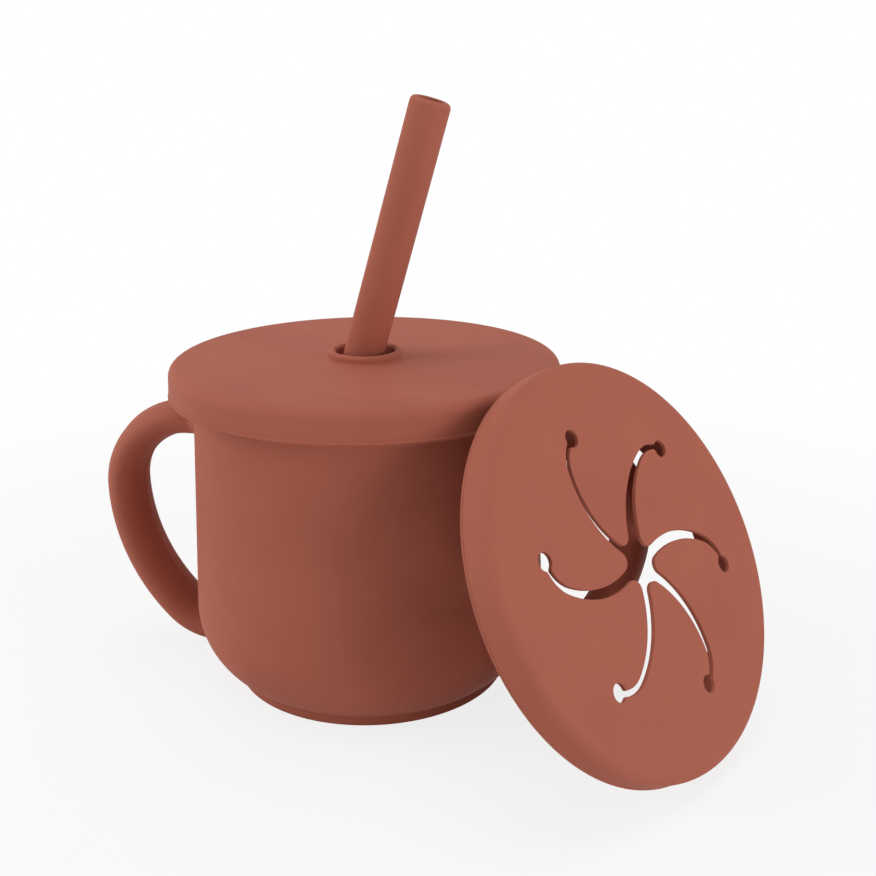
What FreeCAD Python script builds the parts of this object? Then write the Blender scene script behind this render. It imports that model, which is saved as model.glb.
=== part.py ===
import FreeCAD, Part
import math
import os
import re

import Sketcher

# A child's silicone cup with two ear handles, a straw lid in place, its straw,
# and a snack lid with curved flaps that leans on the cup's rim.
# Millimetres and degrees, +Z up, origin at the middle of the foot on the ground,
# handles along X.

SIZES = [
    # the bowl
    ("cup_height", 75.6, "ground to rim"),
    ("rim_radius", 39.9, "outside of the wall under the rim"),
    ("belly_radius", 41.9, "outside of the wall at its widest"),
    ("belly_height", 19.0, "ground to the widest place"),
    ("foot_radius", 32.7, "outside of the foot"),
    ("foot_height", 2.4, "step between foot and bowl"),
    ("cup_wall", 3.0, "thickness of the wall"),
    ("cup_floor", 3.5, "ground to the floor inside"),
    ("bead_height", 4.4, "straight side of the thick rim"),
    ("bead_slope", 2.6, "height over which the wall swells to the rim"),
    # the handles
    ("handle_drop", 14.0, "rim to the middle of the upper run"),
    ("handle_run", 5.3, "straight run out of the wall"),
    ("handle_bend", 18.2, "radius of the upper bend"),
    ("handle_sweep", 45.0, "turn of the long bend down the back"),
    ("handle_tuck", 14.0, "radius of the bend into the bowl"),
    ("handle_end", 7.5, "ground to the middle of the lower end"),
    ("handle_thickness", 8.1, "section across the bend"),
    ("handle_width", 13.7, "section along the bend's axis"),
    # what both lids share
    ("lid_radius", 45.0, "outside of the disc"),
    ("lid_corner", 2.4, "rounding of the top edge"),
    ("lid_sheet", 2.3, "thickness of the disc over the rim"),
    ("lid_wall", 2.2, "thickness of the skirt"),
    ("skirt_height", 7.25, "top face to the skirt's edge"),
    ("skirt_flare", 0.5, "how far the skirt's edge stands out"),
    ("plug_depth", 9.0, "top face to the plug ring's edge"),
    ("plug_wall", 2.0, "thickness of the plug ring"),
    ("edge_round", 0.6, "rounding of free edges"),
    ("fit_gap", 0.3, "between round faces that fit each other"),
    ("seat_gap", 0.2, "between the rim and the disc that sits on it"),
    # the straw and its collar
    ("straw_hole", 6.85, "radius of the hole in the lid"),
    ("collar_radius", 8.6, "outside of the bead round the hole"),
    ("collar_height", 1.8, "bead above the disc"),
    ("collar_round", 0.8, "rounding of the bead"),
    ("straw_radius", 4.6, "outside of the straw"),
    ("straw_bore", 2.9, "radius of its bore"),
    ("straw_length", 135.8, "end to end"),
    ("straw_round", 0.8, "rounding of its ends"),
    ("straw_tilt", 16.2, "lean away from upright"),
    ("straw_bearing", 0.0, "direction that its top leans to"),
    ("straw_set", 0.85, "how far it stands back in the hole, against its lean"),
    ("straw_clear", 0.75, "under its lower end"),
    # the flaps of the snack lid
    ("flap_count", 6, "flaps round the middle"),
    ("flap_sheet", 1.0, "thickness of the flaps"),
    ("flap_gap", 0.3, "between a flap's root and the disc"),
    ("root_share", 0.495, "rounding of a flap's root, as a share of its thickness"),
    ("flap_tip", 1.8, "rounding of a flap's tip"),
    ("slit_reach", 30.2, "middle of the lid to a slit's end hole"),
    ("slit_hole", 1.75, "radius of the end hole"),
    ("slit_width", 1.0, "slit where it leaves the end hole"),
    ("slit_taper", 2.2, "widening of the slit, each edge"),
    ("slit_entry", 15.0, "slit's lean from square where it leaves the hole"),
    ("slit_hook", 8.2, "radius of the bend next to the hole"),
    ("slit_turn", 60.0, "turn of that bend"),
    ("slit_bow", 24.0, "radius of the bend on to the middle"),
    ("slit_bearing", 41.1, "direction of the first end hole on the lid"),
    # where the snack lid leans
    ("snack_lean", 61.0, "tilt of its disc from level"),
    ("snack_bearing", -21.3, "direction from the cup to the lid"),
    ("snack_turn", -4.7, "how far it faces away from that direction"),
    ("lean_gap", 0.3, "between its back and what it leans on"),
    ("stand_gap", 0.2, "under its skirt"),
]

doc = FreeCAD.newDocument("silicone_cup")
sheet = doc.addObject("Spreadsheet::Sheet", "Sizes")
for row, (alias, number, meaning) in enumerate(SIZES, start=1):
    sheet.set(f"A{row}", meaning)
    sheet.set(f"B{row}", str(number))
    sheet.setAlias(f"B{row}", alias)
doc.recompute()
NAMES = {alias for alias, number, meaning in SIZES}

# Sizes that follow from the driving ones
PLUG_RADIUS = "(rim_radius - cup_wall - fit_gap)"
LID_TOP = "(cup_height + seat_gap + lid_sheet)"
BELLY_STEP = "(belly_radius - foot_radius)"
BELLY_RISE = "(belly_height - foot_height)"
BOWL_RADIUS = f"(({BELLY_STEP} ^ 2 + {BELLY_RISE} ^ 2) / (2 * {BELLY_STEP}))"
INNER_BEND = "(belly_height - cup_floor)"
HANDLE_TOP = "(cup_height - handle_drop)"
HANDLE_OUT = "(rim_radius + handle_run + handle_bend)"
HANDLE_TURN = "(handle_bend + handle_tuck * (1 - sin(handle_sweep)))"
HANDLE_BACK = f"(({HANDLE_TOP} - handle_end - {HANDLE_TURN}) / sin(handle_sweep))"
ROOT_RADIUS = "(slit_reach + flap_gap / cos(180 / flap_count))"
OUTER_HOOK = "(slit_hook + slit_width / 2)"
INNER_HOOK = "(slit_hook - slit_width / 2)"
OUTER_BOW = "(slit_bow + slit_width / 2)"
INNER_BOW = "(slit_bow - slit_width / 2)"

SKIRT_RADIUS = "(lid_radius + skirt_flare)"
SNACK_HEIGHT = f"({SKIRT_RADIUS} * sin(snack_lean) + skirt_height * cos(snack_lean) + stand_gap)"

CENTRE_LINE = -2
LEVEL_LINE = -1
SAME_PLACE = 1e-4
# how finely the supports' skins are sampled and the snack lid is slid up to them
SKIN_FINENESS = 0.1
SKIN_STEP = 2.0
SLIDE_STEP = 2.0
SLIDE_FINENESS = 0.005


def linked(formula):
    """The formula with each size pointing at its cell in the sheet."""
    def cell(word):
        return f"Sizes.{word[0]}" if word[0] in NAMES else word[0]
    return re.sub(r"[a-z_]+", cell, formula)


def value(formula):
    return float(sheet.evalExpression(formula))


def bind(feature, **formulas):
    for prop, formula in formulas.items():
        feature.setExpression(prop, linked(formula))


def new_body(label):
    body = doc.addObject("PartDesign::Body", label)
    body.Label = label
    return body


def new_sketch(body, plane, name):
    sketch = body.newObject("Sketcher::SketchObject", name)
    planes = {item.Role: item for item in body.Origin.OriginFeatures}
    sketch.AttachmentSupport = [(planes[plane], "")]
    sketch.MapMode = "FlatFace"
    return sketch


def pin_point(sketch, stretch, end, corner):
    """Hold one end of a stretch at a corner given as two formulas."""
    axes = (("DistanceX", CENTRE_LINE), ("DistanceY", LEVEL_LINE))
    for formula, (distance, axis) in zip(corner, axes):
        if formula == "0":
            sketch.addConstraint(Sketcher.Constraint("PointOnObject", stretch, end, axis))
            continue
        rule = Sketcher.Constraint(distance, -1, 1, stretch, end, value(formula))
        index = sketch.addConstraint(rule)
        sketch.setExpression(f"Constraints[{index}]", linked(formula))


def place(corner):
    """A corner's place now: a vector as it is, or two formulas worked out."""
    if isinstance(corner, FreeCAD.Vector):
        return corner
    return FreeCAD.Vector(value(corner[0]), value(corner[1]), 0)


def bend_between(start, end, radius, side):
    """The arc of under half a turn from start to end that turns left or right."""
    if side == "right":
        start, end = end, start
    chord = end - start
    rise = math.sqrt(radius ** 2 - (chord.Length / 2) ** 2)
    across = FreeCAD.Vector(-chord.y, chord.x, 0).normalize()
    centre = (start + end) / 2 + across * rise
    first = math.atan2(start.y - centre.y, start.x - centre.x)
    last = math.atan2(end.y - centre.y, end.x - centre.x)
    if last < first:
        last += 2 * math.pi
    circle = Part.Circle(centre, FreeCAD.Vector(0, 0, 1), radius)
    return Part.ArcOfCircle(circle, first, last)


def draw(sketch, corners, bends=None, closed=True):
    """Draw lines and arcs through the corners, tied to the sheet.

    A corner is a pair of formulas, or a vector where its place is worked out.
    bends gives the radius and the side of each stretch that is an arc.
    """
    bends = bends or {}
    spots = [place(corner) for corner in corners]
    count = len(corners) if closed else len(corners) - 1
    ends = []
    for i in range(count):
        start, end = spots[i], spots[(i + 1) % len(corners)]
        if i not in bends:
            ends.append((sketch.addGeometry(Part.LineSegment(start, end)), 1, 2))
            continue
        radius, side = bends[i]
        arc = sketch.addGeometry(bend_between(start, end, value(radius), side))
        ends.append((arc, 2, 1) if side == "right" else (arc, 1, 2))
        rule = sketch.addConstraint(Sketcher.Constraint("Radius", arc, value(radius)))
        sketch.setExpression(f"Constraints[{rule}]", linked(radius))
    for i in range(count if closed else count - 1):
        stretch, first, last = ends[i]
        after, after_first, after_last = ends[(i + 1) % count]
        sketch.addConstraint(Sketcher.Constraint("Coincident", stretch, last, after, after_first))
    for i, corner in enumerate(corners):
        if isinstance(corner, FreeCAD.Vector):
            continue
        if i < count:
            pin_point(sketch, ends[i][0], ends[i][1], corner)
        else:
            pin_point(sketch, ends[-1][0], ends[-1][2], corner)


def draw_circle(sketch, centre, radius):
    circle = Part.Circle(place(centre), FreeCAD.Vector(0, 0, 1), value(radius))
    index = sketch.addGeometry(circle)
    pin_point(sketch, index, 3, centre)
    rule = sketch.addConstraint(Sketcher.Constraint("Radius", index, value(radius)))
    sketch.setExpression(f"Constraints[{rule}]", linked(radius))


def turn_round(body, kind, sketch, name):
    feature = body.newObject(kind, name)
    feature.Profile = sketch
    feature.ReferenceAxis = (sketch, ["V_Axis"])
    feature.Angle = 360
    doc.recompute()
    return feature


def round_rings(body, name, radius, rings):
    """Round the circular edges that lie at the given radii and heights."""
    doc.recompute()
    base = body.Tip
    wanted = [(value(ring), value(height)) for ring, height in rings]
    names = []
    for index, edge in enumerate(base.Shape.Edges, start=1):
        if not isinstance(edge.Curve, Part.Circle):
            continue
        spot = (edge.Curve.Radius, edge.Curve.Center.z)
        if any(math.dist(spot, ring) < SAME_PLACE for ring in wanted):
            names.append(f"Edge{index}")
    fillet = body.newObject("PartDesign::Fillet", name)
    fillet.Base = (base, names)
    bind(fillet, Radius=radius)
    doc.recompute()


def make_cup():
    """The bowl with its foot and thick rim, and two ear handles moulded on."""
    body = new_body("cup")
    bead = "(lid_radius - lid_wall - fit_gap)"
    outside = new_sketch(body, "XZ_Plane", "cup_outside")
    draw(outside, [
        ("0", "0"),
        ("foot_radius", "0"),
        ("foot_radius", "foot_height"),
        ("belly_radius", "belly_height"),
        ("rim_radius", "cup_height - bead_height - bead_slope"),
        (bead, "cup_height - bead_height"),
        (bead, "cup_height"),
        ("0", "cup_height"),
    ], {2: (BOWL_RADIUS, "left")})
    turn_round(body, "PartDesign::Revolution", outside, "cup_block")

    route = new_sketch(body, "XZ_Plane", "handle_route")
    knee = f"{HANDLE_OUT} - {HANDLE_BACK} * (1 - cos(handle_sweep))"
    knee_height = f"{HANDLE_TOP} - handle_bend - {HANDLE_BACK} * sin(handle_sweep)"
    draw(route, [
        ("0", HANDLE_TOP),
        ("rim_radius + handle_run", HANDLE_TOP),
        (HANDLE_OUT, f"{HANDLE_TOP} - handle_bend"),
        (knee, knee_height),
        (f"{knee} - handle_tuck * cos(handle_sweep)", "handle_end"),
        ("foot_radius", "handle_end"),
    ], {1: ("handle_bend", "right"), 2: (HANDLE_BACK, "right"), 3: ("handle_tuck", "right")}, closed=False)
    section = new_sketch(body, "YZ_Plane", "handle_section")
    middle = FreeCAD.Vector(0, value(HANDLE_TOP), 0)
    half_width = FreeCAD.Vector(value("handle_width") / 2, 0, 0)
    half_thickness = FreeCAD.Vector(0, value("handle_thickness") / 2, 0)
    ellipse = section.addGeometry(Part.Ellipse(middle + half_width, middle + half_thickness, middle))
    pin_point(section, ellipse, 3, ("0", HANDLE_TOP))
    section.exposeInternalGeometry(ellipse)
    long_axis, short_axis = ellipse + 1, ellipse + 2
    section.addConstraint(Sketcher.Constraint("Horizontal", long_axis))
    for axis, size in ((long_axis, "handle_width"), (short_axis, "handle_thickness")):
        rule = section.addConstraint(Sketcher.Constraint("Distance", axis, value(size)))
        section.setExpression(f"Constraints[{rule}]", linked(size))
    handle = body.newObject("PartDesign::AdditivePipe", "handle")
    handle.Profile = section
    handle.Spine = route
    doc.recompute()
    pair = body.newObject("PartDesign::Mirrored", "handle_pair")
    pair.Originals = [handle]
    planes = {item.Role: item for item in body.Origin.OriginFeatures}
    pair.MirrorPlane = (planes["YZ_Plane"], [""])
    body.Tip = pair
    doc.recompute()

    inside = new_sketch(body, "XZ_Plane", "cup_inside")
    draw(inside, [
        ("0", "cup_floor"),
        (f"belly_radius - cup_wall - {INNER_BEND}", "cup_floor"),
        ("belly_radius - cup_wall", "belly_height"),
        ("rim_radius - cup_wall", "cup_height"),
        ("0", "cup_height"),
    ], {1: (INNER_BEND, "left")})
    turn_round(body, "PartDesign::Groove", inside, "cup_hollow")
    round_rings(body, "cup_edges", "edge_round", [
        ("foot_radius", "0"),
        (bead, "cup_height"),
        ("rim_radius - cup_wall", "cup_height"),
    ])
    return body


def make_lid(label, middle):
    """A disc with a skirt outside the rim and a plug ring inside it.

    middle holds the corners of the profile from the plug ring's foot, through
    the middle of the disc, to its top face.
    """
    body = new_body(label)
    profile = new_sketch(body, "XZ_Plane", f"{label}_profile")
    inner_plug = f"{PLUG_RADIUS} - plug_wall"
    draw(profile, middle + [
        ("lid_radius", "0"),
        (SKIRT_RADIUS, "-skirt_height"),
        (f"{SKIRT_RADIUS} - lid_wall", "-skirt_height"),
        ("lid_radius - lid_wall", "-lid_sheet"),
        (PLUG_RADIUS, "-lid_sheet"),
        (PLUG_RADIUS, "-plug_depth"),
        (inner_plug, "-plug_depth"),
    ])
    turn_round(body, "PartDesign::Revolution", profile, f"{label}_disc")
    round_rings(body, f"{label}_corner", "lid_corner", [("lid_radius", "0")])
    round_rings(body, f"{label}_edges", "edge_round", [
        (SKIRT_RADIUS, "-skirt_height"),
        (f"{SKIRT_RADIUS} - lid_wall", "-skirt_height"),
        (PLUG_RADIUS, "-plug_depth"),
        (inner_plug, "-plug_depth"),
    ])
    return body


def make_straw_lid():
    """The lid in place on the cup, with a raised bead round the straw hole."""
    body = make_lid("straw_lid", [
        (f"{PLUG_RADIUS} - plug_wall", "-lid_sheet"),
        ("straw_hole", "-lid_sheet"),
        ("straw_hole", "collar_height"),
        ("collar_radius", "collar_height"),
        ("collar_radius", "0"),
    ])
    round_rings(body, "collar_bead", "collar_round", [
        ("straw_hole", "collar_height"),
        ("collar_radius", "collar_height"),
    ])
    bind(body, **{"Placement.Base.z": LID_TOP})
    return body


def turned(angle):
    """Unit vector at an angle from +X in the lid's plane."""
    return FreeCAD.Vector(math.cos(math.radians(angle)), math.sin(math.radians(angle)), 0)


def make_straw():
    """A straight soft tube that leans in the collar and stands on the floor."""
    body = new_body("straw")
    ring = new_sketch(body, "XY_Plane", "straw_ring")
    draw_circle(ring, ("0", "0"), "straw_radius")
    draw_circle(ring, ("0", "0"), "straw_bore")
    tube = body.newObject("PartDesign::Pad", "straw_tube")
    tube.Profile = ring
    bind(tube, Length="straw_length")
    doc.recompute()
    round_rings(body, "straw_lips", "straw_round", [
        ("straw_radius", "0"),
        ("straw_radius", "straw_length"),
        ("straw_bore", "straw_length"),
    ])
    up = FreeCAD.Vector(0, 0, 1)
    across = FreeCAD.Vector(0, 1, 0)
    lean = FreeCAD.Rotation(up, value("straw_bearing")) * FreeCAD.Rotation(across, value("straw_tilt"))
    along = lean.multVec(up)
    through = turned(value("straw_bearing")) * -value("straw_set")
    through.z = value(f"{LID_TOP} - lid_sheet / 2")
    foot = value("cup_floor + straw_clear + straw_radius * sin(straw_tilt)")
    body.Placement = FreeCAD.Placement(through - along * ((through.z - foot) / along.z), lean)
    return body


def slit_edge(side):
    """One edge of a slit whose end hole lies on +X, followed from the hole inwards.

    side is 1 for the edge on the left of that way and -1 for the one on the right.
    Gives its start, its knee between the two bends, and the centres of both bends.
    """
    offset = side * value("slit_width") / 2
    square = 90 + value("slit_entry")
    heading = square + side * value("slit_taper")
    start = turned(0) * value("slit_reach") + turned(square + 90) * offset
    hook = value("slit_hook") - offset
    hook_centre = start + turned(heading + 90) * hook
    heading += value("slit_turn")
    knee = hook_centre - turned(heading + 90) * hook
    bow_centre = knee + turned(heading + 90) * (value("slit_bow") - offset)
    return start, knee, hook_centre, bow_centre


def crossing(first, first_radius, second, second_radius):
    """Where two circles cross, on the side nearer to the lid's middle."""
    between = second - first
    span = between.Length
    along = (span ** 2 + first_radius ** 2 - second_radius ** 2) / (2 * span)
    across = math.sqrt(first_radius ** 2 - along ** 2)
    foot = first + between * (along / span)
    side = FreeCAD.Vector(-between.y, between.x, 0) * (across / span)
    return min(foot + side, foot - side, key=lambda spot: spot.Length)


def root_end(hole, next_hole, centre, radius):
    """Where the root line between two end holes leaves the first slit's bend."""
    along = (next_hole - hole).normalize()
    middle = (centre - hole).dot(along)
    height = (hole + along * middle - centre).Length
    return hole + along * (middle + math.sqrt(radius ** 2 - height ** 2))


def cut_through(body, sketch, name):
    pocket = body.newObject("PartDesign::Pocket", name)
    pocket.Profile = sketch
    pocket.Type = "ThroughAll"
    pocket.Midplane = True
    doc.recompute()
    return pocket


def repeat_round(body, feature, sketch, name):
    ring = body.newObject("PartDesign::PolarPattern", name)
    ring.Originals = [feature]
    ring.Axis = (sketch, ["N_Axis"])
    ring.Angle = 360
    bind(ring, Occurrences="flap_count")
    body.Tip = ring
    doc.recompute()


def make_snack_lid():
    """The lid with the hand opening: a many-sided window that the flaps close.

    Each slit ends in a round hole, and its first bend runs outside the window.
    """
    body = make_lid("snack_lid", [
        (f"{PLUG_RADIUS} - plug_wall", "-flap_sheet"),
        ("0", "-flap_sheet"),
        ("0", "0"),
    ])
    window = new_sketch(body, "XY_Plane", "flap_window")
    turns = [f"{k} * 360 / flap_count" for k in range(int(value("flap_count")))]
    draw(window, [(f"{ROOT_RADIUS} * cos({turn})", f"{ROOT_RADIUS} * sin({turn})") for turn in turns])
    cut_through(body, window, "flap_opening")
    end = new_sketch(body, "XY_Plane", "slit_end")
    draw_circle(end, ("slit_reach", "0"), "slit_hole")
    repeat_round(body, cut_through(body, end, "slit_end_hole"), end, "slit_end_holes")
    bend = new_sketch(body, "XY_Plane", "slit_bend")
    right_start, right_knee = slit_edge(-1)[:2]
    left_start, left_knee = slit_edge(1)[:2]
    draw(bend, [right_start, right_knee, left_knee, left_start], {
        0: (OUTER_HOOK, "left"),
        2: (INNER_HOOK, "right"),
    })
    repeat_round(body, cut_through(body, bend, "slit_hook_cut"), bend, "slit_hook_cuts")
    return body


def round_root(body, base, number, spot, along):
    """Round the flap's root to a half circle, so that it can bend both ways."""
    names = []
    for index, edge in enumerate(base.Shape.Edges, start=1):
        ends = [vertex.Point for vertex in edge.Vertexes]
        in_plan = [FreeCAD.Vector(end.x, end.y, 0) - spot for end in ends]
        on_root = all(end.cross(along).Length < SAME_PLACE for end in in_plan)
        if on_root and abs(ends[0].z - ends[-1].z) < SAME_PLACE:
            names.append(f"Edge{index}")
    fillet = body.newObject("PartDesign::Fillet", f"flap_{number}_root")
    fillet.Base = (base, names)
    bind(fillet, Radius="flap_sheet * root_share")
    doc.recompute()


def make_flap(number):
    """One flap: a curved sector between two slits, hinged along its straight root."""
    body = new_body(f"flap_{number}")
    spin = FreeCAD.Rotation(FreeCAD.Vector(0, 0, 1), value("360 / flap_count"))
    hole = turned(0) * value("slit_reach")
    next_hole = spin.multVec(hole)
    knee, hook_centre, bow_centre = slit_edge(-1)[1:]
    next_start, next_knee, _, next_bow_centre = [spin.multVec(spot) for spot in slit_edge(1)]
    root = root_end(hole, next_hole, hook_centre, value(OUTER_HOOK))
    outer, inner, tip = value(OUTER_BOW), value(INNER_BOW), value("flap_tip")
    tip_centre = crossing(bow_centre, outer + tip, next_bow_centre, inner - tip)
    tip_start = bow_centre + (tip_centre - bow_centre).normalize() * outer
    tip_end = next_bow_centre + (tip_centre - next_bow_centre).normalize() * inner
    outline = new_sketch(body, "XY_Plane", f"flap_{number}_outline")
    draw(outline, [root, knee, tip_start, tip_end, next_knee, next_start, next_hole], {
        0: (OUTER_HOOK, "left"),
        1: (OUTER_BOW, "left"),
        2: ("flap_tip", "right"),
        3: (INNER_BOW, "right"),
        4: (INNER_HOOK, "right"),
    })
    leaf = body.newObject("PartDesign::Pad", f"flap_{number}_sheet")
    leaf.Profile = outline
    leaf.Reversed = True
    bind(leaf, Length="flap_sheet")
    doc.recompute()
    end = new_sketch(body, "XY_Plane", f"flap_{number}_end")
    turn = "360 / flap_count"
    draw_circle(end, (f"slit_reach * cos({turn})", f"slit_reach * sin({turn})"), "slit_hole")
    notch = cut_through(body, end, f"flap_{number}_notch")
    round_root(body, notch, number, hole, (next_hole - hole).normalize())
    return body


def skin(shape):
    """Points over a shape's surface, spread along the edges of its facets."""
    spots, facets = shape.tessellate(SKIN_FINENESS)
    points = list(spots)
    for facet in facets:
        for first, last in zip(facet, facet[1:] + facet[:1]):
            edge = spots[last] - spots[first]
            parts = math.ceil(edge.Length / SKIN_STEP)
            if first < last:
                points += [spots[first] + edge * (part / parts) for part in range(1, parts)]
    return points


def lean_snack_lid(body, supports):
    """Stand the snack lid on its skirt and slide it in until its back meets a support."""
    up = FreeCAD.Vector(0, 0, 1)
    facing = FreeCAD.Rotation(up, value("snack_bearing + snack_turn + 90"))
    tilt = FreeCAD.Rotation(FreeCAD.Vector(1, 0, 0), value("snack_lean"))
    spin = FreeCAD.Rotation(up, value("slit_bearing"))
    turn = facing * tilt * spin
    face = turn.multVec(up)
    away = turned(value("snack_bearing"))
    height = up * value(SNACK_HEIGHT)
    gap = value("lean_gap")
    # the lid's back: rings from one radius to another and how deep they lie under the face
    rings = [
        ("0", PLUG_RADIUS, "flap_sheet"),
        (f"{PLUG_RADIUS} - plug_wall", PLUG_RADIUS, "plug_depth"),
        (PLUG_RADIUS, "lid_radius", "lid_sheet"),
        ("lid_radius - lid_wall", SKIRT_RADIUS, "skirt_height"),
    ]
    back = [(value(a) - gap, value(b) + gap, value(depth) + gap) for a, b, depth in rings]
    near_side = value("rim_radius / 2")
    points = [point for support in supports for point in skin(support.Shape)]
    points = [point for point in points if point.dot(away) > near_side]

    def is_clear(reach):
        middle = away * reach + height
        for point in points:
            behind = (middle - point).dot(face)
            off = (point + face * behind - middle).Length
            if any(a < off < b and behind < depth for a, b, depth in back):
                return False
        return True

    reach = value(f"{SKIRT_RADIUS} + {HANDLE_OUT} + handle_thickness + skirt_height")
    while is_clear(reach - SLIDE_STEP):
        reach -= SLIDE_STEP
    blocked = reach - SLIDE_STEP
    while reach - blocked > SLIDE_FINENESS:
        between = (reach + blocked) / 2
        if is_clear(between):
            reach = between
        else:
            blocked = between
    body.Placement = FreeCAD.Placement(away * reach + height, turn)


cup = make_cup()
straw_lid = make_straw_lid()
straw = make_straw()
snack_lid = make_snack_lid()
flaps = [make_flap(number) for number in range(1, int(value("flap_count")) + 1)]
lean_snack_lid(snack_lid, [cup, straw_lid])
for number, flap in enumerate(flaps):
    spin = FreeCAD.Rotation(FreeCAD.Vector(0, 0, 1), value(f"{number} * 360 / flap_count"))
    flap.Placement = snack_lid.Placement.multiply(FreeCAD.Placement(FreeCAD.Vector(), spin))
doc.recompute()

pieces = [cup, straw_lid, straw, snack_lid] + flaps
for item in doc.Objects:
    if "Invalid" in item.State or "Error" in item.State:
        raise RuntimeError(f"{item.Name} did not build: {item.State}")
for piece in pieces:
    if piece.Shape.isNull() or not piece.Shape.isValid() or len(piece.Shape.Solids) != 1:
        raise RuntimeError(f"{piece.Label} is not one sound solid")

os.makedirs("parts", exist_ok=True)
for piece in pieces:
    piece.Shape.exportStep(f"parts/{piece.Label}.step")
    print(piece.Label, round(piece.Shape.Volume), "cubic mm")
print("snack lid stands at", snack_lid.Placement.Base)
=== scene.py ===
import math

import bmesh
import bpy
from mathutils import Matrix, Vector


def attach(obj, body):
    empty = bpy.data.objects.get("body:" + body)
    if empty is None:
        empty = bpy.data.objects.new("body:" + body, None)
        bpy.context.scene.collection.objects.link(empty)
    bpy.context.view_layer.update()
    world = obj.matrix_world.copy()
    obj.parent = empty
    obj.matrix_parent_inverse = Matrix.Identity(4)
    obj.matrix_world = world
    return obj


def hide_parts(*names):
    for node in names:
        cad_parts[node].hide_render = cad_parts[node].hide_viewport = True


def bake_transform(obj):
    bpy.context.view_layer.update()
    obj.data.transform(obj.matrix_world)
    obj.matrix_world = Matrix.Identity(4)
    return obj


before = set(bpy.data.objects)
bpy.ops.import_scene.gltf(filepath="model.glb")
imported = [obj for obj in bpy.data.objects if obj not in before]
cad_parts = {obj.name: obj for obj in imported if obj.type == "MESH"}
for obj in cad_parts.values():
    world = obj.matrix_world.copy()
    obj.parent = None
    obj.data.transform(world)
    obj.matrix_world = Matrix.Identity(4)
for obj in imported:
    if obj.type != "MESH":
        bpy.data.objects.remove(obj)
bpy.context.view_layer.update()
for spare in ("Cube", "Light", "Camera"):
    if spare in bpy.data.objects:
        bpy.data.objects.remove(bpy.data.objects[spare])

# The cup is one thick silicone moulding: a bowl with a stepped foot and a heavy rim,
# and two ear handles that were moulded in one with it. The mould opens along the
# handles, so each carries a fine parting line.

MM = 0.001
TURN_STEPS = 192

foot_radius, foot_height, step_round = 32.7, 2.4, 0.25
belly_radius, belly_height = 41.9, 19.0
rim_radius, cup_height = 39.9, 75.6
bead_radius, bead_height, bead_slope = 42.5, 4.4, 2.6
cup_wall, cup_floor = 3.0, 3.5
free_edge, edge_row = 0.6, 0.2


def arc(centre, radius, first, last, steps):
    """Points along an arc, from the first angle to the last, in degrees."""
    points = []
    for step in range(steps + 1):
        angle = math.radians(first + (last - first) * step / steps)
        points.append((centre[0] + radius * math.cos(angle), centre[1] + radius * math.sin(angle)))
    return points


def settle(bm, name):
    """A finished mesh as an object in the scene, with its faces pointing outwards."""
    bmesh.ops.remove_doubles(bm, verts=bm.verts, dist=1e-7)
    bmesh.ops.recalc_face_normals(bm, faces=bm.faces)
    mesh = bpy.data.meshes.new(name)
    bm.to_mesh(mesh)
    bm.free()
    piece = bpy.data.objects.new(name, mesh)
    bpy.context.scene.collection.objects.link(piece)
    return piece


def turned(name, profile, closed=False):
    """A profile of radius and height, in millimetres, turned round the upright axis.

    An open profile gets a flat face at each end.
    """
    bm = bmesh.new()
    rings = []
    for radius, height in profile:
        ring = []
        for step in range(TURN_STEPS):
            angle = 2 * math.pi * step / TURN_STEPS
            spot = Vector((radius * math.cos(angle), radius * math.sin(angle), height))
            ring.append(bm.verts.new(spot * MM))
        rings.append(ring)
    pairs = list(zip(rings, rings[1:]))
    if closed:
        pairs.append((rings[-1], rings[0]))
    else:
        bm.faces.new(rings[0])
        bm.faces.new(rings[-1])
    for lower, upper in pairs:
        for step in range(TURN_STEPS):
            after = (step + 1) % TURN_STEPS
            bm.faces.new((lower[step], lower[after], upper[after], upper[step]))
    return settle(bm, name)


def bake(piece):
    """Turn what the modifiers give into the piece's own mesh."""
    bpy.context.view_layer.update()
    shaped = piece.evaluated_get(bpy.context.evaluated_depsgraph_get())
    mesh = bpy.data.meshes.new_from_object(shaped)
    piece.modifiers.clear()
    piece.data = mesh
    mesh.name = piece.name


def combine(piece, other, way, keep_other=False):
    """Join a second solid to a piece, cut it out, or keep what both share."""
    joint = piece.modifiers.new(way.lower(), "BOOLEAN")
    joint.operation = way
    joint.solver = "EXACT"
    joint.object = other
    bake(piece)
    if not keep_other:
        bpy.data.objects.remove(other)


def soften(piece, angle):
    """Smooth shading, with creases where faces meet at more than the angle."""
    piece.data.shade_smooth()
    piece.data.set_sharp_from_angle(angle=math.radians(angle))


bowl_out, bowl_up = belly_radius - foot_radius, belly_height - foot_height
bowl_radius = (bowl_out ** 2 + bowl_up ** 2) / (2 * bowl_out)
bowl_middle = (belly_radius - bowl_radius, belly_height)
step_turn = 1.2
bowl_start = math.degrees(math.asin(-bowl_up / bowl_radius)) + step_turn
outside = [(foot_radius - 4, 0), (foot_radius - free_edge - edge_row, 0)]
outside += arc((foot_radius - free_edge, free_edge), free_edge, -90, 0, 5)
outside += [(foot_radius, foot_height - 2 * step_round)]
outside += arc((foot_radius + step_round, foot_height - step_round), step_round, 180, 90, 3)[1:]
outside += arc(bowl_middle, bowl_radius, bowl_start, 0, 28)
wall_top, wall_rows = cup_height - bead_height - bead_slope, 12
for row in range(1, wall_rows + 1):
    share = row / wall_rows
    outside.append((
        belly_radius + (rim_radius - belly_radius) * share,
        belly_height + (wall_top - belly_height) * share,
    ))
outside += [(bead_radius, cup_height - bead_height)]
outside += arc((bead_radius - free_edge, cup_height - free_edge), free_edge, 0, 90, 4)
outside += [(bead_radius - free_edge - 2 * edge_row, cup_height)]
cup = turned("cup_moulding", outside)

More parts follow.
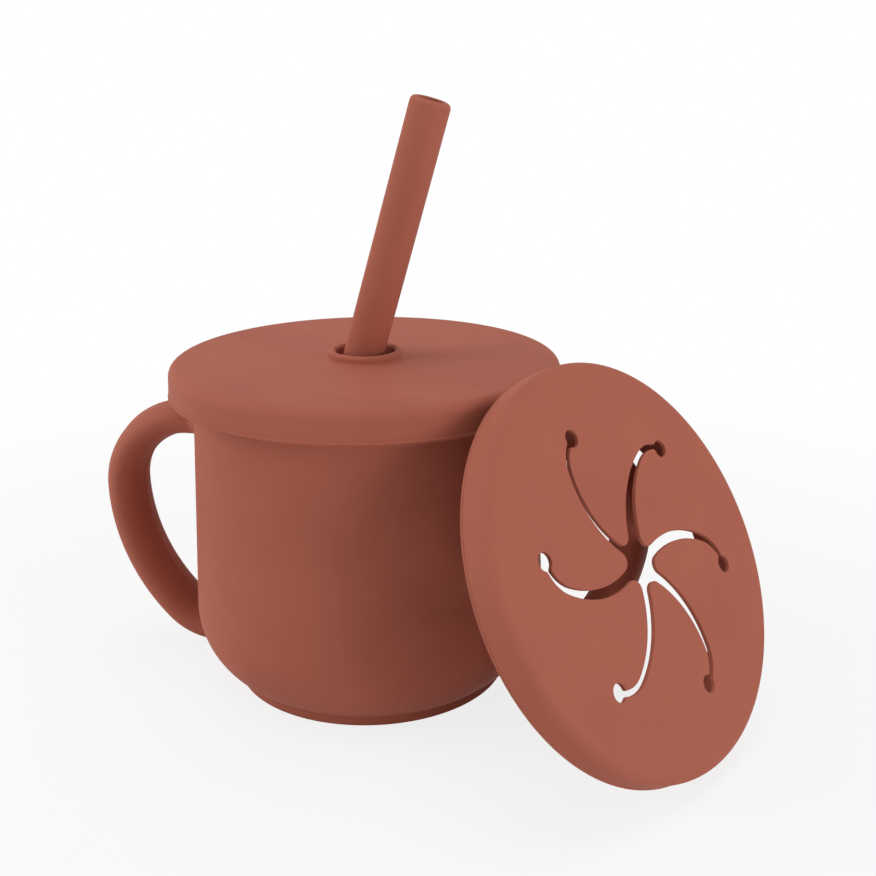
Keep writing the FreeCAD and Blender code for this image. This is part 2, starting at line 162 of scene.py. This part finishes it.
inner_bend = belly_height - cup_floor
floor_radius = belly_radius - cup_wall - inner_bend
mouth_radius = rim_radius - cup_wall
floor_rows, over_rim = (10, floor_radius - 0.3), 2
near_mouth = mouth_radius + (belly_radius - rim_radius) * 0.02
inside = [(radius, cup_floor) for radius in floor_rows]
inside += arc((floor_radius, belly_height), inner_bend, -90, 0, 20)
inside += [(near_mouth, cup_height - free_edge - 2 * edge_row)]
inside += arc((mouth_radius + free_edge, cup_height - free_edge), free_edge, 180, 100, 4)
inside += [(mouth_radius + free_edge, cup_height + over_rim)]
hollow = turned("cup_hollow", inside)

handle_top, handle_end, handle_run = cup_height - 14.7, 6.65, 4.7
handle_bend, handle_tuck, handle_sweep = 18.2, 14.0, 45.0
handle_thickness, handle_width = 8.1, 13.7
root_flare, flare_reach = 1.35, 4.6
back_swell, swell_start, swell_end = 1.085, 10.0, 32.0
ridge_height, ridge_width = 0.2, 0.4
root_depth, end_depth = 1.5, 2.5
run_steps, run_gap = 10, 0.6
handle_out = rim_radius + handle_run + handle_bend
bend_height = handle_top - handle_bend
across, down = math.cos(math.radians(handle_sweep)), math.sin(math.radians(handle_sweep))
handle_back = (bend_height - handle_end - handle_tuck * (1 - down)) / down
knee = (handle_out - handle_back * (1 - across), bend_height - handle_back * down)
tuck_middle = (knee[0] - handle_tuck * across, knee[1] + handle_tuck * down)
run_length = root_depth + handle_run - run_gap
route = [
    (rim_radius - root_depth + run_length * step / run_steps, handle_top)
    for step in range(run_steps + 1)
]
route += arc((rim_radius + handle_run, bend_height), handle_bend, 90, 0, 36)
route += arc((handle_out - handle_back, bend_height), handle_back, 0, -handle_sweep, 30)[1:]
route += arc(tuck_middle, handle_tuck, -handle_sweep, -90, 12)[1:]
route += [(foot_radius + end_depth, handle_end)]

line = bpy.data.curves.new("handle_route", "CURVE")
line.dimensions = "3D"
strand = line.splines.new("POLY")
strand.points.add(len(route) - 1)
for point, (out, height) in zip(strand.points, route):
    point.co = (out * MM, 0, height * MM, 1)
handles = bpy.data.objects.new("handles", line)
bpy.context.scene.collection.objects.link(handles)

# Both handles come from one rule: an oval section with the mould's fine parting ridge,
# drawn along the route, stouter where it leaves the wall and down the back, and the
# same again on the other side of the cup.
rule = bpy.data.node_groups.new("handle_pair", "GeometryNodeTree")
rule.interface.new_socket("Route", in_out="INPUT", socket_type="NodeSocketGeometry")
rule_inputs = {}
for label in (
    "Thickness", "Width", "Flare", "Flare Reach", "Swell", "Swell Start", "Swell End",
    "Ridge Height", "Ridge Width", "Finish",
):
    kind = "NodeSocketMaterial" if label == "Finish" else "NodeSocketFloat"
    rule_inputs[label] = rule.interface.new_socket(label, in_out="INPUT", socket_type=kind).identifier
rule.interface.new_socket("Handles", in_out="OUTPUT", socket_type="NodeSocketGeometry")
given = rule.nodes.new("NodeGroupInput")
made = rule.nodes.new("NodeGroupOutput")
oval = rule.nodes.new("GeometryNodeCurvePrimitiveCircle")
oval.inputs["Resolution"].default_value = 120
oval.inputs["Radius"].default_value = 0.5
stretch = rule.nodes.new("ShaderNodeCombineXYZ")
section = rule.nodes.new("GeometryNodeTransform")
spot = rule.nodes.new("GeometryNodeInputPosition")
sides = rule.nodes.new("ShaderNodeSeparateXYZ")
off_line = rule.nodes.new("ShaderNodeMath")
off_line.operation = "ABSOLUTE"
ridge = rule.nodes.new("ShaderNodeMapRange")
ridge.inputs["To Max"].default_value = 0.0
which_face = rule.nodes.new("ShaderNodeMath")
which_face.operation = "SIGN"
rise = rule.nodes.new("ShaderNodeMath")
rise.operation = "MULTIPLY"
lift = rule.nodes.new("ShaderNodeCombineXYZ")
ridged = rule.nodes.new("GeometryNodeSetPosition")
facing = rule.nodes.new("GeometryNodeSetCurveNormal")
facing.mode = "FREE"
facing.inputs["Normal"].default_value = (0, 1, 0)
along = rule.nodes.new("GeometryNodeSplineParameter")
flare = rule.nodes.new("ShaderNodeMapRange")
flare.interpolation_type = "SMOOTHSTEP"
flare.inputs["To Max"].default_value = 1.0
swell = rule.nodes.new("ShaderNodeMapRange")
swell.interpolation_type = "SMOOTHSTEP"
swell.inputs["To Min"].default_value = 1.0
girth = rule.nodes.new("ShaderNodeMath")
girth.operation = "MULTIPLY"
draw = rule.nodes.new("GeometryNodeCurveToMesh")
draw.inputs["Fill Caps"].default_value = True
other_side = rule.nodes.new("GeometryNodeTransform")
other_side.inputs["Rotation"].default_value = (0, 0, math.pi)
both = rule.nodes.new("GeometryNodeJoinGeometry")
real = rule.nodes.new("GeometryNodeRealizeInstances")
finish = rule.nodes.new("GeometryNodeSetMaterial")
for start, end in (
    (given.outputs["Width"], stretch.inputs["X"]),
    (given.outputs["Thickness"], stretch.inputs["Y"]),
    (oval.outputs["Curve"], section.inputs["Geometry"]),
    (stretch.outputs["Vector"], section.inputs["Scale"]),
    (spot.outputs["Position"], sides.inputs["Vector"]),
    (sides.outputs["X"], off_line.inputs[0]),
    (off_line.outputs["Value"], ridge.inputs["Value"]),
    (given.outputs["Ridge Width"], ridge.inputs["From Max"]),
    (given.outputs["Ridge Height"], ridge.inputs["To Min"]),
    (sides.outputs["Y"], which_face.inputs[0]),
    (ridge.outputs["Result"], rise.inputs[0]),
    (which_face.outputs["Value"], rise.inputs[1]),
    (rise.outputs["Value"], lift.inputs["Y"]),
    (section.outputs["Geometry"], ridged.inputs["Geometry"]),
    (lift.outputs["Vector"], ridged.inputs["Offset"]),
    (given.outputs["Route"], facing.inputs["Curve"]),
    (along.outputs["Length"], flare.inputs["Value"]),
    (given.outputs["Flare Reach"], flare.inputs["From Max"]),
    (given.outputs["Flare"], flare.inputs["To Min"]),
    (along.outputs["Length"], swell.inputs["Value"]),
    (given.outputs["Swell Start"], swell.inputs["From Min"]),
    (given.outputs["Swell End"], swell.inputs["From Max"]),
    (given.outputs["Swell"], swell.inputs["To Max"]),
    (flare.outputs["Result"], girth.inputs[0]),
    (swell.outputs["Result"], girth.inputs[1]),
    (girth.outputs["Value"], draw.inputs["Scale"]),
    (facing.outputs["Curve"], draw.inputs["Curve"]),
    (ridged.outputs["Geometry"], draw.inputs["Profile Curve"]),
    (draw.outputs["Mesh"], other_side.inputs["Geometry"]),
    (draw.outputs["Mesh"], both.inputs["Geometry"]),
    (other_side.outputs["Geometry"], both.inputs["Geometry"]),
    (both.outputs["Geometry"], real.inputs["Geometry"]),
    (real.outputs["Geometry"], finish.inputs["Geometry"]),
    (given.outputs["Finish"], finish.inputs["Material"]),
    (finish.outputs["Geometry"], made.inputs["Handles"]),
):
    rule.links.new(start, end)


def silicone(name, tone):
    """Matte silicone: a dusty even tone with slow drifts of colour and a fine moulded grain."""
    finish = bpy.data.materials.new(name)
    finish.use_nodes = True
    nodes, links = finish.node_tree.nodes, finish.node_tree.links
    shader = nodes["Principled BSDF"]
    shader.inputs["IOR"].default_value = 1.41
    shader.inputs["Specular IOR Level"].default_value = 0.15
    place = nodes.new("ShaderNodeTexCoord")
    drift = nodes.new("ShaderNodeTexNoise")
    drift.inputs["Scale"].default_value = 45
    drift.inputs["Detail"].default_value = 3
    grain = nodes.new("ShaderNodeTexNoise")
    grain.inputs["Scale"].default_value = 2600
    grain.inputs["Detail"].default_value = 4
    colour = nodes.new("ShaderNodeValToRGB")
    colour.color_ramp.elements[0].position = 0.3
    colour.color_ramp.elements[0].color = [channel * 0.95 for channel in tone] + [1]
    colour.color_ramp.elements[1].position = 0.7
    colour.color_ramp.elements[1].color = [channel * 1.05 for channel in tone] + [1]
    rough = nodes.new("ShaderNodeMapRange")
    rough.inputs["To Min"].default_value = 0.60
    rough.inputs["To Max"].default_value = 0.72
    bump = nodes.new("ShaderNodeBump")
    bump.inputs["Strength"].default_value = 0.25
    bump.inputs["Distance"].default_value = 0.00006
    links.new(place.outputs["Object"], drift.inputs["Vector"])
    links.new(place.outputs["Object"], grain.inputs["Vector"])
    links.new(drift.outputs["Fac"], colour.inputs["Fac"])
    links.new(colour.outputs["Color"], shader.inputs["Base Color"])
    links.new(grain.outputs["Fac"], rough.inputs["Value"])
    links.new(rough.outputs["Result"], shader.inputs["Roughness"])
    links.new(grain.outputs["Fac"], bump.inputs["Height"])
    links.new(bump.outputs["Normal"], shader.inputs["Normal"])
    return finish


terracotta = (0.405, 0.119, 0.0765)
cup_finish = silicone("cup_silicone", terracotta)
sweeper = handles.modifiers.new("handle_pair", "NODES")
sweeper.node_group = rule
for label, size in (
    ("Thickness", handle_thickness), ("Width", handle_width), ("Flare Reach", flare_reach),
    ("Swell Start", swell_start), ("Swell End", swell_end),
    ("Ridge Height", ridge_height), ("Ridge Width", ridge_width),
):
    sweeper[rule_inputs[label]] = size * MM
sweeper[rule_inputs["Flare"]] = root_flare
sweeper[rule_inputs["Swell"]] = back_swell
sweeper[rule_inputs["Finish"]] = cup_finish
bpy.context.view_layer.update()
swept = handles.evaluated_get(bpy.context.evaluated_depsgraph_get())
swept_mesh = bpy.data.meshes.new_from_object(swept)
bm = bmesh.new()
bm.from_mesh(swept_mesh)
bpy.data.objects.remove(handles)
pair = settle(bm, "handle_pair")
combine(cup, pair, "UNION")
combine(cup, hollow, "DIFFERENCE")
soften(cup, 35)
cup.data.materials.clear()
cup.data.materials.append(cup_finish)
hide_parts("cup")
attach(cup, "cup")

# The straw lid is a soft disc that stretches over the rim: a skirt outside it, a short
# plug ring inside it, and a round bead about the straw hole in the middle.

lid_top = 78.1
lid_radius, lid_corner, lid_sheet, lid_wall = 45.0, 2.4, 2.3, 2.2
skirt_height, skirt_flare = 7.25, 0.5
lip_step, lip_round = 0.18, 0.4
corner_shift, flat_rows, collar_rows = 0.16, (1.0, 0.25), (1.5, 3.0)
plug_radius, plug_inside, plug_depth = 36.6, 34.6, 9.0
straw_hole, collar_radius, collar_height = 6.85, 8.6, 1.8
collar_round, collar_root = 0.86, 0.25
hole_bevel, hole_rise = 0.5, 0.4


def lid_rim(top):
    """The lid's profile, from its flat top over the edge, round skirt and plug ring."""
    low, plug_low = top - skirt_height, top - plug_depth
    edge = lid_radius + skirt_flare
    lean = math.degrees(math.atan2(skirt_flare - lip_step, skirt_height))
    corner = lid_radius - lid_corner
    rim = [(corner - row, top) for row in flat_rows]
    rim += arc((corner + corner_shift, top - lid_corner), lid_corner, 90, lean, 12)
    rim += [(edge - lip_step, low + 2.5 * lip_round)]
    rim += arc((edge - lip_round, low + lip_round), lip_round, 60, -90, 8)
    rim += arc((edge - lid_wall + free_edge, low + free_edge), free_edge, -90, -180, 5)
    rim += [(lid_radius - lid_wall, top - lid_sheet)]
    rim += [(plug_radius, top - lid_sheet), (plug_radius, plug_low + free_edge + edge_row)]
    rim += arc((plug_radius - free_edge, plug_low + free_edge), free_edge, 0, -90, 4)
    rim += arc((plug_inside + free_edge, plug_low + free_edge), free_edge, -90, -180, 4)
    return rim


profile = [(collar_radius + row, lid_top) for row in collar_rows]
profile += lid_rim(lid_top)
underside = lid_top - lid_sheet
profile += [(plug_inside, underside)]
profile += [(straw_hole + hole_bevel, underside), (straw_hole, underside + hole_rise)]
bead_top = lid_top + collar_height
profile += arc((straw_hole + collar_round, bead_top - collar_round), collar_round, 180, 90, 6)
profile += arc((collar_radius - collar_round, bead_top - collar_round), collar_round, 90, 0, 6)
profile += arc((collar_radius + collar_root, lid_top + collar_root), collar_root, 180, 270, 4)
straw_lid = turned("straw_lid_moulding", profile, closed=True)
soften(straw_lid, 40)
straw_lid.data.materials.append(silicone("straw_lid_silicone", terracotta))
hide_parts("straw_lid")
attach(straw_lid, "straw_lid")

# The straw is a straight length of soft tube with rounded lips. It leans in the hole
# of the lid and reaches down to just above the cup's floor.

straw_radius, straw_bore, straw_length = 4.6, 2.9, 135.8
straw_lip, bore_lip = 1.25, 0.4
straw_tilt, straw_set, straw_clear = math.radians(16.2), 0.85, 0.75
straw_rows = 10
tube = arc((straw_radius - straw_lip, straw_lip), straw_lip, -90, 0, 5)
tube += [(straw_radius, straw_length * row / straw_rows) for row in range(1, straw_rows)]
tube += arc((straw_radius - straw_lip, straw_length - straw_lip), straw_lip, 0, 90, 6)
tube += arc((straw_bore + bore_lip, straw_length - bore_lip), bore_lip, 90, 180, 6)
tube += [(straw_bore, straw_length * row / straw_rows) for row in range(straw_rows - 1, -1, -1)]
straw = turned("straw_tube", tube, closed=True)
lean = Matrix.Rotation(straw_tilt, 4, "Y")
along_straw = lean @ Vector((0, 0, 1))
in_hole = Vector((-straw_set, 0, lid_top - lid_sheet / 2))
straw_foot = cup_floor + straw_clear + straw_radius * math.sin(straw_tilt)
lower_end = in_hole - along_straw * ((in_hole.z - straw_foot) / along_straw.z)
straw.data.transform(Matrix.Translation(lower_end * MM) @ lean)
soften(straw, 40)
straw.data.materials.append(silicone("straw_silicone", terracotta))
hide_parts("straw")
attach(straw, "straw")

# The snack lid is the same moulding as the straw lid, with a thinner middle that six
# curved slits part into flaps. Each slit ends in a round hole that keeps it from tearing.

flap_count, flap_sheet, flap_tip = 6, 1.0, 2.2
slit_reach, slit_hole, slit_width = 30.2, 1.95, 1.0
slit_taper, slit_entry, slit_turn = 2.2, 15.0, 60.0
slit_hook, slit_bow = 8.2, 24.0
slit_edge_round, mouth_round, ring_bevel = 0.15, 0.7, 0.5
cutter_over, cutter_spread, window_ends = 0.6, 0.8, (2, -4)
flap_step = 360 / flap_count
snack_middle = Vector((67.28922, -26.23497, 43.51007))
snack_facing, snack_lean = math.radians(-26.0), math.radians(61.0)
slit_bearing = math.radians(41.1)
snack_place = (
    Matrix.Translation(snack_middle * MM)
    @ Matrix.Rotation(snack_facing + math.pi / 2, 4, "Z")
    @ Matrix.Rotation(snack_lean, 4, "X")
    @ Matrix.Rotation(slit_bearing, 4, "Z")
)


def pointing(angle):
    """Unit vector in the lid's plane at an angle in degrees."""
    return Vector((math.cos(math.radians(angle)), math.sin(math.radians(angle))))


def slit_side(side):
    """Start, knee and the centres of both bends of a slit's left (1) or right (-1) edge."""
    offset = side * slit_width / 2
    square = 90 + slit_entry
    heading = square + side * slit_taper
    start = pointing(0) * slit_reach + pointing(square + 90) * offset
    hook_middle = start + pointing(heading + 90) * (slit_hook - offset)
    heading += slit_turn
    knee = hook_middle - pointing(heading + 90) * (slit_hook - offset)
    return start, knee, hook_middle, knee + pointing(heading + 90) * (slit_bow - offset)


def bend(middle, first, last, steps, way):
    """Points from first to last round a middle, anticlockwise if way is 1."""
    start = math.degrees(math.atan2(first[1] - middle[1], first[0] - middle[0]))
    end = math.degrees(math.atan2(last[1] - middle[1], last[0] - middle[0]))
    while (end - start) * way < 0:
        end += 360 * way
    return [Vector(spot) for spot in arc(middle, (first - middle).length, start, end, steps)]


def meeting(first, first_radius, second, second_radius, near):
    """The crossing of two circles that lies nearer to a place."""
    between = second - first
    span = between.length
    out = (span ** 2 + first_radius ** 2 - second_radius ** 2) / (2 * span)
    across = math.sqrt(first_radius ** 2 - out ** 2)
    square = Vector((-between.y, between.x)) * (across / span)
    spots = [first + between * (out / span) + square, first + between * (out / span) - square]
    return min(spots, key=lambda spot: (spot - near).length)


def turned_by(spot, angle):
    """A place in the lid's plane, turned about the lid's middle by an angle in degrees."""
    return Matrix.Rotation(math.radians(angle), 2) @ spot


def on_circle(middle, radius, towards):
    """The point of a circle that lies towards a place."""
    return middle + (towards - middle).normalized() * radius


right_start, right_knee, right_hook, right_bow = slit_side(-1)
left_start, left_knee, left_hook, left_bow = slit_side(1)
outer_bow, inner_bow = slit_bow + slit_width / 2, slit_bow - slit_width / 2
outer_hook, inner_hook = slit_hook + slit_width / 2, slit_hook - slit_width / 2
next_bow = turned_by(left_bow, flap_step)
tip_middle = meeting(right_bow, outer_bow + flap_tip, next_bow, inner_bow - flap_tip, Vector((0, 0)))
tip_start = on_circle(right_bow, outer_bow, tip_middle)
tip_end = on_circle(next_bow, inner_bow, tip_middle)
hole = pointing(0) * slit_reach
to_mouth = pointing(90 + slit_entry) * slit_hole
corner_reach = slit_hole + mouth_round
right_corner = meeting(hole, corner_reach, right_hook, outer_hook + mouth_round, right_start + to_mouth)
left_corner = meeting(hole, corner_reach, left_hook, inner_hook - mouth_round, left_start + to_mouth)
right_mouth = on_circle(right_hook, outer_hook, right_corner)
left_mouth = on_circle(left_hook, inner_hook, left_corner)
hole_start = on_circle(hole, slit_hole, left_corner)
hole_end = on_circle(hole, slit_hole, right_corner)

# One sixth of the cut line: in along a slit's right edge, round a flap's tip, out along
# the next slit's left edge, and round its end hole, with softened corners at its mouth.
next_knee = turned_by(left_knee, flap_step)
sixth = bend(right_hook, right_mouth, right_knee, 12, 1)[:-1]
sixth += bend(right_bow, right_knee, tip_start, 30, 1)[:-1]
sixth += bend(tip_middle, tip_start, tip_end, 12, -1)[:-1]
sixth += bend(next_bow, tip_end, next_knee, 30, -1)[:-1]
for middle, first, last, steps, way in (
    (left_hook, left_knee, left_mouth, 12, -1),
    (left_corner, left_mouth, hole_start, 5, -1),
    (hole, hole_start, hole_end, 28, 1),
    (right_corner, hole_end, right_mouth, 5, -1),
):
    middle, first, last = (turned_by(spot, flap_step) for spot in (middle, first, last))
    sixth += bend(middle, first, last, steps, way)[:-1]


def all_round(side):
    """One side of a six-sided outline, repeated about the lid's middle."""
    return [turned_by(spot, flap_step * number) for number in range(flap_count) for spot in side]


def plug_between(loops, name):
    """A solid with rings of points for its side and a flat face at each end."""
    bm = bmesh.new()
    loops = [[bm.verts.new(spot * MM) for spot in loop] for loop in loops]
    bm.faces.new(loops[0])
    bm.faces.new(loops[-1])
    for upper, lower in zip(loops, loops[1:]):
        for index in range(len(upper)):
            bm.faces.new((upper[index - 1], upper[index], lower[index], lower[index - 1]))
    return settle(bm, name)


cut_line = all_round(sixth)

into_sheet = []
for index, spot in enumerate(cut_line):
    before, after = cut_line[index - 1], cut_line[(index + 1) % len(cut_line)]
    way = (after - before).normalized()
    into_sheet.append(Vector((way.y, -way.x)))
levels = [(cutter_over, cutter_spread * slit_edge_round)]
for angle in (75, 50, 25, 0):
    share = math.radians(angle)
    levels.append((slit_edge_round * (math.sin(share) - 1), slit_edge_round * (1 - math.cos(share))))
levels += [(-flap_sheet - height, spread) for height, spread in reversed(levels)]
slits = plug_between([
    [Vector((*(spot + out * spread), height)) for spot, out in zip(cut_line, into_sheet)]
    for height, spread in levels
], "slits")

# The flaps part from the disc along straight roots: a window that follows each slit's
# first bend and then runs straight to the next end hole.
hook_middle = hole + pointing(90 + slit_entry + 90) * slit_hook
chord_length = 2 * slit_hook * math.sin(math.radians(flap_step / 2 - slit_entry))
root_start = hole + pointing(90 + flap_step / 2) * chord_length
window_line = all_round(bend(hook_middle, hole, root_start, 6, 1))
window = plug_between([
    [Vector((*spot, height)) for spot in window_line]
    for height in window_ends
], "window")

profile = lid_rim(0)
profile += [(plug_inside, -flap_sheet - ring_bevel), (plug_inside - ring_bevel, -flap_sheet)]
snack_lid = turned("snack_lid_moulding", profile)
combine(snack_lid, slits, "DIFFERENCE")
flaps = snack_lid.copy()
flaps.data = snack_lid.data.copy()
bpy.context.scene.collection.objects.link(flaps)
combine(snack_lid, window, "DIFFERENCE", keep_other=True)
combine(flaps, window, "INTERSECT")
snack_lid.data.transform(snack_place)
soften(snack_lid, 35)
snack_lid.data.materials.clear()
snack_finish = silicone("snack_lid_silicone", terracotta)
snack_lid.data.materials.append(snack_finish)
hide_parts("snack_lid")
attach(snack_lid, "snack_lid")

# The six flaps are one sheet with the snack lid. Each bends near its root when a hand
# pushes in, so its sheet has extra rows there to bend smoothly. The first one has
# stayed a little pushed in.

root_distance = slit_reach * math.cos(math.radians(flap_step / 2))
bend_reach, bend_rows = 3.8, 12
flap_sag = {1: 3.2}
bm = bmesh.new()
bm.from_mesh(flaps.data)
bpy.data.objects.remove(flaps)
for number in range(1, flap_count + 1):
    outward = pointing(flap_step * (number - 0.5))
    root = Vector((*(outward * root_distance), -flap_sheet / 2)) * MM
    leaf = bm.copy()
    leaf.verts.ensure_lookup_table()
    seed = max(leaf.verts, key=lambda vert: vert.co.xy.dot(outward))
    kept, edge_of = {seed}, [seed]
    while edge_of:
        vert = edge_of.pop()
        for edge in vert.link_edges:
            far = edge.other_vert(vert)
            if far not in kept:
                kept.add(far)
                edge_of.append(far)
    bmesh.ops.delete(leaf, geom=[vert for vert in leaf.verts if vert not in kept], context="VERTS")
    for row in range(1, bend_rows + 1):
        on_row = outward * (root_distance - bend_reach * row / bend_rows) * MM
        bmesh.ops.bisect_plane(
            leaf, geom=leaf.verts[:] + leaf.edges[:] + leaf.faces[:], dist=1e-7,
            plane_co=(on_row.x, on_row.y, 0), plane_no=(outward.x, outward.y, 0),
        )
    sag, hinge = math.radians(flap_sag.get(number, 0.0)), (outward.y, -outward.x, 0)
    for vert in leaf.verts:
        inwards = (root_distance - vert.co.xy.dot(outward) / MM) / bend_reach
        share = min(max(inwards, 0.0), 1.0)
        share *= share * (3 - 2 * share)
        vert.co = root + Matrix.Rotation(sag * share, 3, hinge) @ (vert.co - root)
    flap = settle(leaf, f"flap_sheet_{number}")
    flap.data.transform(snack_place)
    soften(flap, 35)
    flap.data.materials.clear()
    flap.data.materials.append(snack_finish)
    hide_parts(f"flap_{number}")
    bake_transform(flap)
bm.free()

# The studio: a white floor that keeps a soft shadow near the cup, large lights on the
# left and above, a smaller one low on the right, and the camera at the photograph's angle.


def in_view(nodes, links):
    """A socket that is 1 for what is seen straight on, in a gloss or through a clear piece."""
    path = nodes.new("ShaderNodeLightPath")
    gloss_or_clear = nodes.new("ShaderNodeMath")
    seen = nodes.new("ShaderNodeMath")
    seen.use_clamp = True
    links.new(path.outputs["Is Glossy Ray"], gloss_or_clear.inputs[0])
    links.new(path.outputs["Is Transmission Ray"], gloss_or_clear.inputs[1])
    links.new(path.outputs["Is Camera Ray"], seen.inputs[0])
    links.new(gloss_or_clear.outputs["Value"], seen.inputs[1])
    return seen.outputs["Value"]


floor_reach = 4.0
near_white, fade_start, fade_end = 0.82, 0.10, 0.32
corners = [(x * floor_reach, y * floor_reach, 0) for x, y in ((-1, -1), (1, -1), (1, 1), (-1, 1))]
floor_mesh = bpy.data.meshes.new("floor")
floor_mesh.from_pydata(corners, [], [(0, 1, 2, 3)])
floor = bpy.data.objects.new("floor", floor_mesh)
bpy.context.scene.collection.objects.link(floor)
paper = bpy.data.materials.new("white_paper")
paper.use_nodes = True
nodes, links = paper.node_tree.nodes, paper.node_tree.links
shader = nodes["Principled BSDF"]
shader.inputs["Base Color"].default_value = (0.86, 0.86, 0.86, 1)
shader.inputs["Roughness"].default_value = 0.9
shader.inputs["Specular IOR Level"].default_value = 0.1
white = nodes.new("ShaderNodeEmission")
place = nodes.new("ShaderNodeTexCoord")
away = nodes.new("ShaderNodeVectorMath")
away.operation = "LENGTH"
fade = nodes.new("ShaderNodeMapRange")
fade.interpolation_type = "SMOOTHSTEP"
fade.inputs["From Min"].default_value = fade_start
fade.inputs["From Max"].default_value = fade_end
fade.inputs["To Min"].default_value = near_white
part = nodes.new("ShaderNodeMath")
part.operation = "MULTIPLY"
mix = nodes.new("ShaderNodeMixShader")
links.new(place.outputs["Object"], away.inputs[0])
links.new(away.outputs["Value"], fade.inputs["Value"])
links.new(fade.outputs["Result"], part.inputs[0])
links.new(in_view(nodes, links), part.inputs[1])
links.new(part.outputs["Value"], mix.inputs["Fac"])
links.new(shader.outputs["BSDF"], mix.inputs[1])
links.new(white.outputs["Emission"], mix.inputs[2])
links.new(mix.outputs["Shader"], nodes["Material Output"].inputs["Surface"])
floor_mesh.materials.append(paper)

world = bpy.data.worlds.new("studio")
world.use_nodes = True
bpy.context.scene.world = world
nodes, links = world.node_tree.nodes, world.node_tree.links
room = nodes["Background"]
room.inputs["Color"].default_value = (1, 1, 1, 1)
room.inputs["Strength"].default_value = 0.37
backdrop = nodes.new("ShaderNodeBackground")
backdrop.inputs["Color"].default_value = (1, 1, 1, 1)
mix = nodes.new("ShaderNodeMixShader")
links.new(in_view(nodes, links), mix.inputs["Fac"])
links.new(room.outputs["Background"], mix.inputs[1])
links.new(backdrop.outputs["Background"], mix.inputs[2])
links.new(mix.outputs["Shader"], nodes["World Output"].inputs["Surface"])

lit_spot = Vector((0.01, 0, 0.05))
for label, spot, size, power in (
    ("left_light", (-1.2, -0.37, 0.55), 0.9, 7.9),
    ("right_light", (1.2, -0.55, 0.2), 0.5, 6.7),
    ("top_light", (0.0, 0.1, 1.4), 0.9, 6.2),
):
    lamp = bpy.data.lights.new(label, "AREA")
    lamp.size = size
    lamp.energy = power
    stand = bpy.data.objects.new(label, lamp)
    stand.location = spot
    stand.rotation_euler = (lit_spot - Vector(spot)).to_track_quat("-Z", "Y").to_euler()
    bpy.context.scene.collection.objects.link(stand)

lens = bpy.data.cameras.new("camera")
lens.sensor_width = 36
lens.lens = 51.886
lens.clip_start = 0.01
camera = bpy.data.objects.new("camera", lens)
camera.matrix_world = (
    Matrix.Translation((0.08354, -0.27326, 0.14898))
    @ Matrix.Rotation(math.radians(13.639), 4, "Z")
    @ Matrix.Rotation(math.radians(90 - 17.687), 4, "X")
    @ Matrix.Rotation(math.radians(-0.374), 4, "Z")
)
bpy.context.scene.collection.objects.link(camera)
bpy.context.scene.camera = camera
bpy.context.scene.view_settings.view_transform = "Standard"
